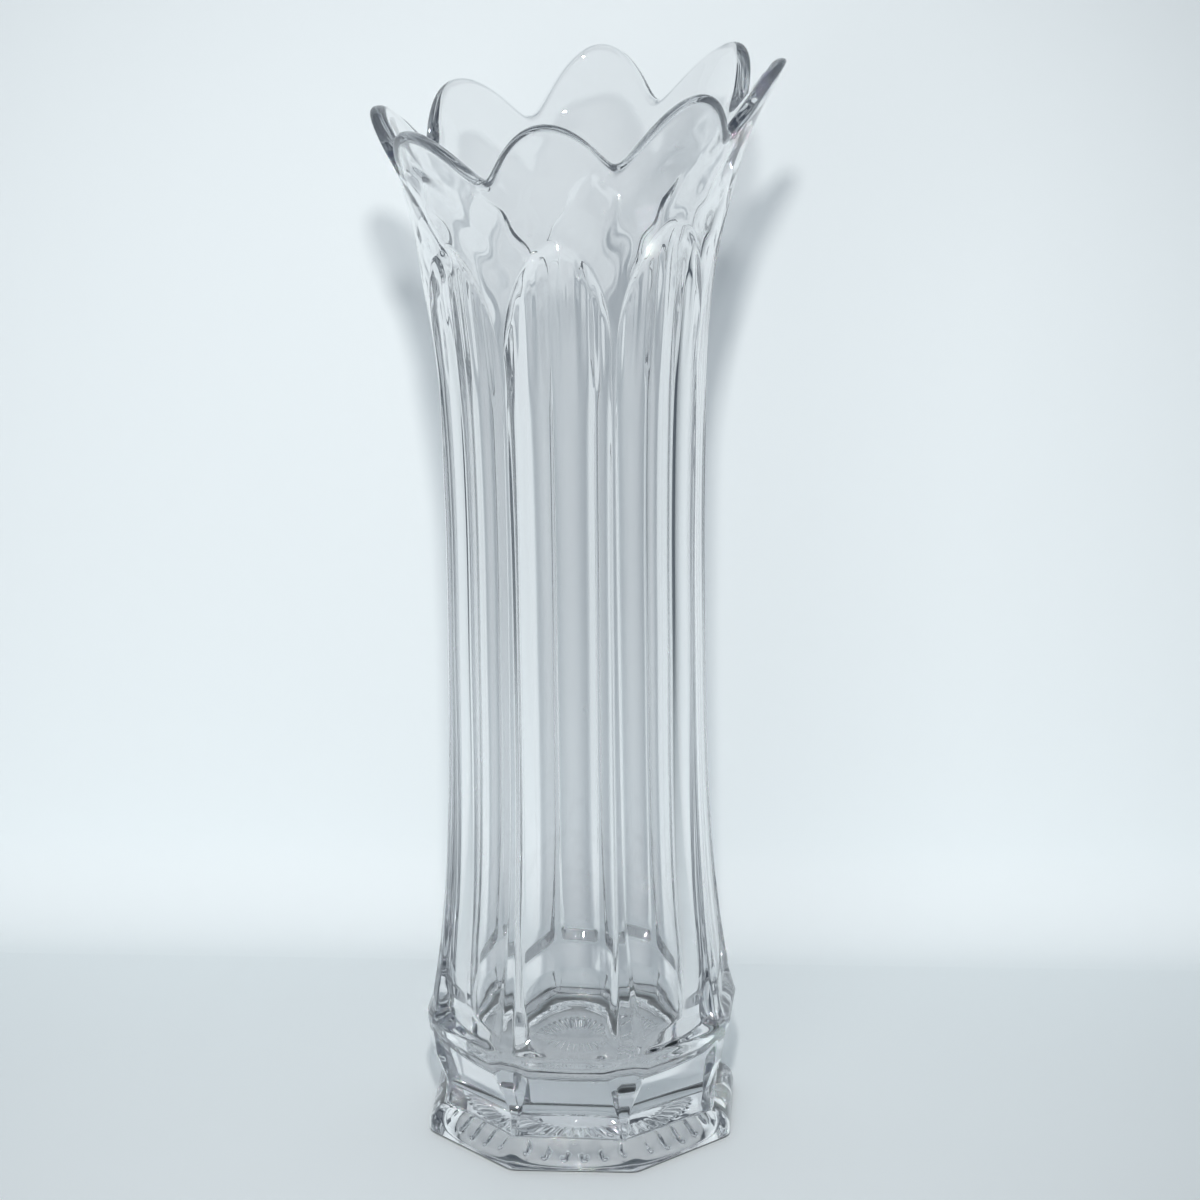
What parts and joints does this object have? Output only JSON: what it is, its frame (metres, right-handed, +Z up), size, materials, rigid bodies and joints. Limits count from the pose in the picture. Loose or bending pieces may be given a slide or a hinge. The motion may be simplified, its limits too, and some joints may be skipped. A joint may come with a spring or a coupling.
{
  "type": "glass flower vase",
  "caption": "Tall clear pressed glass vase on an angular foot, with arched flat panels up a slender body and a flared, scalloped rim.",
  "frame": {"origin": "centre of the foot, on the surface that the vase stands on", "axes": "+Z up the vase, -Y towards the middle of the front panel of the foot, +X towards the highest side of the rim"},
  "size_m": [0.1303, 0.1299, 0.3585],
  "materials": {
    "clear_glass": "clear colourless soda-lime glass, fire-polished, with faint upright swing streaks and a few seeds"
  },
  "bodies": {
    "root": {"glass_vase": "clear_glass"}
  },
  "joints": []
}
